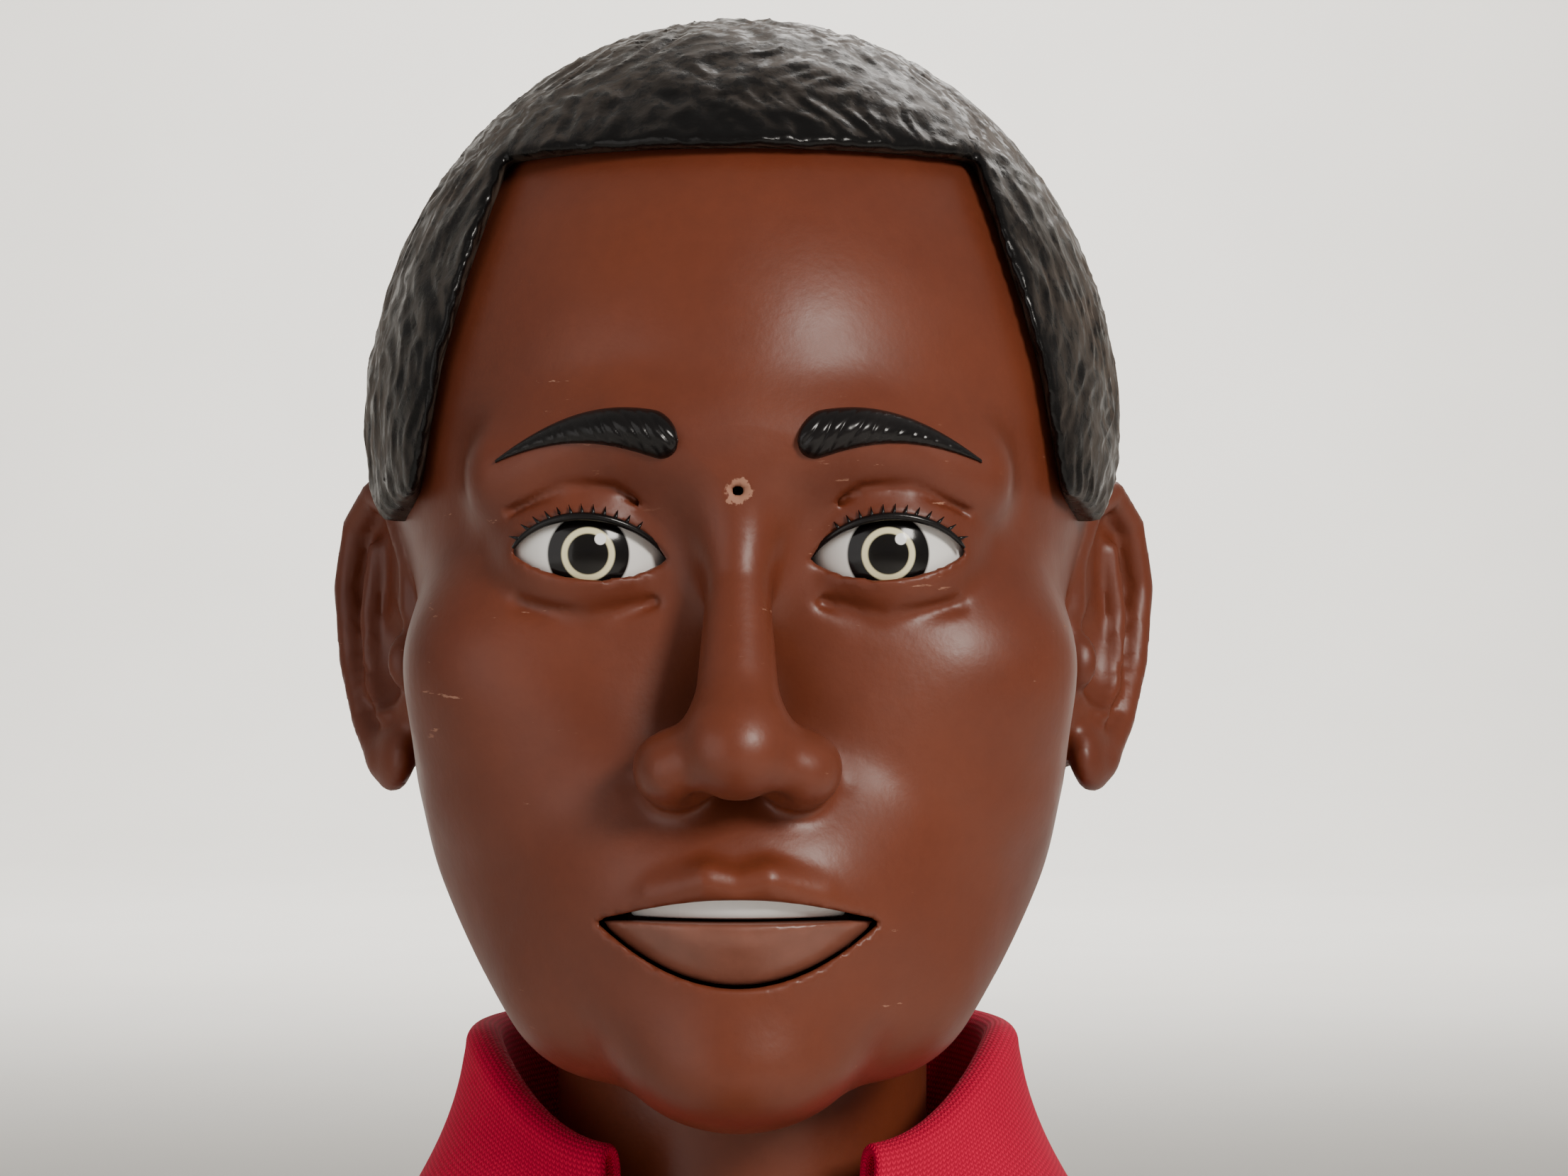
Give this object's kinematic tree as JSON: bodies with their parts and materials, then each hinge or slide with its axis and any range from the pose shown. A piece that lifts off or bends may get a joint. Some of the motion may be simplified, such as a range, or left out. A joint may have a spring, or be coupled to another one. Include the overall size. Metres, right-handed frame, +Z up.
{
  "type": "ventriloquist dummy",
  "caption": "Seated ventriloquist dummy with a turning, nodding head on a control stick, a trigger-worked jaw, jointed limbs and a red collared shirt.",
  "frame": {"origin": "on the flat seat under the axis of the neck", "axes": "+Z up along the neck, the face looks along -Y, and +X is the figure's left side"},
  "size_m": [0.2206, 0.4676, 0.4647],
  "materials": {
    "skin_vinyl": "Warm mid-brown soft vinyl with a satin surface and a few scuffs",
    "black_vinyl": "Black painted vinyl, glossy on the brows and at the front of the hair",
    "painted_eye": "White plastic with a painted black iris, pale ring and highlight",
    "white_vinyl": "White hard plastic",
    "pale_wood": "Pale close-grained softwood and dowel, unfinished",
    "plated_steel": "Zinc-plated steel rod and pins",
    "brass": "Brushed brass",
    "black_rubber": "Black rubber",
    "card_shell": "Moulded buff body shell",
    "red_knit": "Crimson cotton jersey knit",
    "dark_twill": "Charcoal navy cotton twill",
    "black_leather": "Black smooth leather",
    "dark_knit": "Black ribbed sock knit"
  },
  "bodies": {
    "torso": {"torso_shell": "card_shell", "neck_socket": "pale_wood", "pelvis_block": "pale_wood", "hip_rod": "plated_steel", "shoulder_bolt_left": "plated_steel", "shoulder_bolt_right": "plated_steel", "shirt": "red_knit", "collar": "red_knit", "shirt_buttons": "white_vinyl", "trousers_seat": "dark_twill", "belt": "black_leather", "belt_buckle": "brass"},
    "neck": {"neck_ring": "white_vinyl"},
    "head": {"head_shell": "skin_vinyl", "hair_cap": "black_vinyl", "eyebrows": "black_vinyl", "eyes": "painted_eye", "upper_teeth": "white_vinyl", "jaw_frame": "pale_wood", "jaw_axle": "plated_steel", "return_spring": "plated_steel", "neck_plug": "pale_wood", "head_stick": "pale_wood", "stick_grip": "black_rubber", "trigger_bracket": "plated_steel", "trigger_pin": "plated_steel"},
    "jaw": {"jaw": "skin_vinyl", "jaw_cross_pin": "plated_steel"},
    "pull_rod": {"pull_rod": "plated_steel"},
    "trigger": {"trigger": "brass"},
    "upper_arm_left": {"upper_arm_left": "pale_wood", "upper_sleeve_left": "red_knit", "elbow_pin_left": "plated_steel"},
    "lower_arm_left": {"forearm_left": "pale_wood", "lower_sleeve_left": "red_knit", "hand_left": "skin_vinyl"},
    "thigh_left": {"thigh_left": "pale_wood", "trouser_thigh_left": "dark_twill", "knee_pin_left": "plated_steel"},
    "lower_leg_left": {"shin_left": "pale_wood", "trouser_shin_left": "dark_twill", "sock_left": "dark_knit", "shoe_left": "black_leather", "sole_left": "black_rubber"},
    "upper_arm_right": {"upper_arm_right": "pale_wood", "upper_sleeve_right": "red_knit", "elbow_pin_right": "plated_steel"},
    "lower_arm_right": {"forearm_right": "pale_wood", "lower_sleeve_right": "red_knit", "hand_right": "skin_vinyl"},
    "thigh_right": {"thigh_right": "pale_wood", "trouser_thigh_right": "dark_twill", "knee_pin_right": "plated_steel"},
    "lower_leg_right": {"shin_right": "pale_wood", "trouser_shin_right": "dark_twill", "sock_right": "dark_knit", "shoe_right": "black_leather", "sole_right": "black_rubber"}
  },
  "joints": [
    {"name": "head_nod", "type": "hinge", "parent": "torso", "child": "neck", "pos_m": [0, 0, 0.248], "axis": [1, 0, 0], "range_deg": [-7, 7]},
    {"name": "head_turn", "type": "hinge", "parent": "neck", "child": "head", "pos_m": [0, 0, 0.248], "axis": [0, 0, 1], "range_deg": [-70, 70]},
    {"name": "trigger_pull", "type": "hinge", "parent": "head", "child": "trigger", "pos_m": [0, -0.013, 0.16], "axis": [-1, 0, 0], "range_deg": [0, 12], "stiffness_Nm_per_rad": 0.05, "springref_deg": -11.46},
    {"name": "jaw_open", "type": "hinge", "parent": "head", "child": "jaw", "pos_m": [0, 0.02, 0.372], "axis": [1, 0, 0], "range_deg": [0, 7.8]},
    {"name": "rod_slide", "type": "slide", "parent": "head", "child": "pull_rod", "axis": [0, 0, -1], "range_m": [0, 0.0028], "deforming": ["return_spring"]},
    {"name": "shoulder_left", "type": "hinge", "parent": "torso", "child": "upper_arm_left", "pos_m": [0.0903, 0.002, 0.214], "axis": [-1, 0, 0], "range_deg": [-30, 150]},
    {"name": "elbow_left", "type": "hinge", "parent": "upper_arm_left", "child": "lower_arm_left", "pos_m": [0.0903, 0.002, 0.128], "axis": [1, 0, 0], "range_deg": [-90, 0]},
    {"name": "hip_left", "type": "hinge", "parent": "torso", "child": "thigh_left", "pos_m": [0.04, -0.052, 0.038], "axis": [1, 0, 0], "range_deg": [-15, 90]},
    {"name": "knee_left", "type": "hinge", "parent": "thigh_left", "child": "lower_leg_left", "pos_m": [0.04, -0.202, 0.038], "axis": [1, 0, 0], "range_deg": [0, 90]},
    {"name": "shoulder_right", "type": "hinge", "parent": "torso", "child": "upper_arm_right", "pos_m": [-0.0903, 0.002, 0.214], "axis": [-1, 0, 0], "range_deg": [-30, 150]},
    {"name": "elbow_right", "type": "hinge", "parent": "upper_arm_right", "child": "lower_arm_right", "pos_m": [-0.0903, 0.002, 0.128], "axis": [1, 0, 0], "range_deg": [-90, 0]},
    {"name": "hip_right", "type": "hinge", "parent": "torso", "child": "thigh_right", "pos_m": [-0.04, -0.052, 0.038], "axis": [1, 0, 0], "range_deg": [-15, 90]},
    {"name": "knee_right", "type": "hinge", "parent": "thigh_right", "child": "lower_leg_right", "pos_m": [-0.04, -0.202, 0.038], "axis": [1, 0, 0], "range_deg": [0, 90]}
  ],
  "couplings": [
    {"joint": "jaw_open", "follows": "trigger_pull", "ratio": 0.65},
    {"joint": "rod_slide", "follows": "trigger_pull", "m_per_rad": 0.013}
  ]
}
